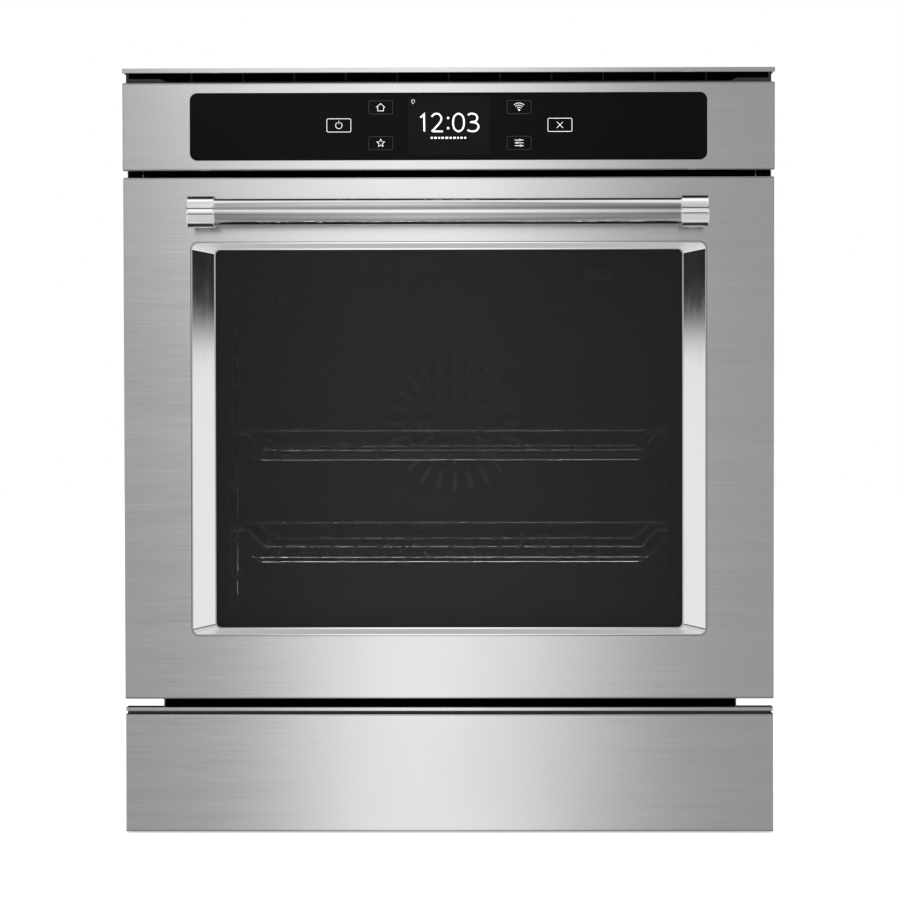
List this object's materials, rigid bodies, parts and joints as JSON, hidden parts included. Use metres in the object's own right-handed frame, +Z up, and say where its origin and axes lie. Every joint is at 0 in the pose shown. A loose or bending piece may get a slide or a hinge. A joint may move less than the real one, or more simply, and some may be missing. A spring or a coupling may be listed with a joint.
{
  "type": "built-in wall oven",
  "caption": "Built-in single wall oven: stainless drop-down door with framed window and bar handle, touch control panel, enamelled convection cavity with sliding racks.",
  "frame": {"origin": "centre of the base's resting face", "axes": "+Z up, front of the oven toward -Y, +X toward the right as seen from the front"},
  "size_m": [0.6034, 0.6555, 0.7085],
  "materials": {
    "stainless_front": "satin",
    "handle_steel": "satin",
    "bezel_steel": "polished",
    "black_paint": "satin",
    "galvanised_steel": "matte",
    "enamel": "gloss",
    "gasket": "matte",
    "insulation_wool": "matte",
    "door_glass_dark": "polished",
    "clear_glass": "polished",
    "control_glass_black": "polished",
    "black_plastic": "matte",
    "display_plastic": "gloss",
    "circuit_board": "satin",
    "element_sheath": "matte",
    "fan_metal": "satin",
    "motor_steel": "satin",
    "rack_chrome": "polished",
    "lamp_ceramic": "matte",
    "hardware_steel": "satin",
    "hinge_steel": "satin"
  },
  "bodies": {
    "cabinet": {"bake_element": "element_sheath", "base_pan": "black_paint", "bottom_trim": "stainless_front", "bottom_vent_lip": "stainless_front", "broil_element": "element_sheath", "cavity_gasket": "gasket", "chassis_screws": "hardware_steel", "conduit_bushing": "hardware_steel", "control_board": "circuit_board", "control_fascia": "stainless_front", "control_glass": "control_glass_black", "control_housing": "black_plastic", "convection_element": "element_sheath", "convection_fan_cover": "enamel", "convection_motor": "motor_steel", "cooling_blower_housing": "galvanised_steel", "cooling_duct": "galvanised_steel", "cooling_motor": "motor_steel", "display_module": "display_plastic", "door_switch_body": "black_plastic", "front_frame": "black_paint", "hinge_arm_left": "hinge_steel", "hinge_arm_right": "hinge_steel", "insulation_back": "insulation_wool", "insulation_wrap": "insulation_wool", "lamp_holder": "lamp_ceramic", "lamp_lens": "clear_glass", "latch_motor": "motor_steel", "oven_cavity": "enamel", "power_board": "circuit_board", "rack_guide_left": "rack_chrome", "rack_guide_right": "rack_chrome", "rear_panel": "galvanised_steel", "side_panel_left": "galvanised_steel", "side_panel_right": "galvanised_steel", "temperature_sensor": "hardware_steel", "terminal_block": "black_plastic", "top_cover": "galvanised_steel", "top_trim": "stainless_front", "top_vent_deflector": "black_plastic"},
    "door": {"door_skin": "stainless_front", "window_bezel": "bezel_steel", "door_glass_outer": "door_glass_dark", "door_glass_middle": "clear_glass", "door_glass_inner": "clear_glass", "glass_pack_frame": "hinge_steel", "door_liner": "enamel", "handle_bar": "handle_steel", "handle_end_left": "handle_steel", "handle_end_right": "handle_steel", "hinge_channel_left": "hinge_steel", "hinge_channel_right": "hinge_steel", "hinge_pins": "hardware_steel", "door_screws": "hardware_steel"},
    "rack_upper": {"rack_upper": "rack_chrome"},
    "rack_lower": {"rack_lower": "rack_chrome"},
    "convection_fan": {"convection_fan": "fan_metal"},
    "cooling_blower_wheel": {"cooling_blower_wheel": "fan_metal"},
    "latch_hook": {"door_latch_hook": "hardware_steel"},
    "switch_plunger": {"door_switch_plunger": "black_plastic"}
  },
  "joints": [
    {"name": "door_hinge", "type": "hinge", "parent": "cabinet", "child": "door", "pos_m": [0, -0.308, 0.134], "axis": [1, 0, 0], "range_deg": [0, 90], "stiffness_Nm_per_rad": 14, "springref_deg": -11.46},
    {"name": "rack_upper_slide", "type": "slide", "parent": "cabinet", "child": "rack_upper", "axis": [0, -1, 0], "range_m": [0, 0.2828]},
    {"name": "rack_lower_slide", "type": "slide", "parent": "cabinet", "child": "rack_lower", "axis": [0, -1, 0], "range_m": [0, 0.22]},
    {"name": "convection_fan_spin", "type": "hinge", "parent": "cabinet", "child": "convection_fan", "pos_m": [0, 0.13, 0.372], "axis": [0, -1, 0], "continuous": true},
    {"name": "blower_spin", "type": "hinge", "parent": "cabinet", "child": "cooling_blower_wheel", "pos_m": [0, 0.08, 0.645], "axis": [1, 0, 0], "continuous": true},
    {"name": "latch_turn", "type": "hinge", "parent": "cabinet", "child": "latch_hook", "pos_m": [0, -0.255, 0.5954], "axis": [0, 0, 1], "range_deg": [0, 20]},
    {"name": "switch_slide", "type": "slide", "parent": "cabinet", "child": "switch_plunger", "axis": [0, -1, 0], "range_m": [0, 0.0051]}
  ],
  "couplings": [
    {"joint": "rack_upper_slide", "follows": "door_hinge", "m_per_rad": 0.18},
    {"joint": "rack_lower_slide", "follows": "door_hinge", "m_per_rad": 0.14},
    {"joint": "switch_slide", "follows": "door_hinge", "m_per_rad": 0.0032}
  ]
}
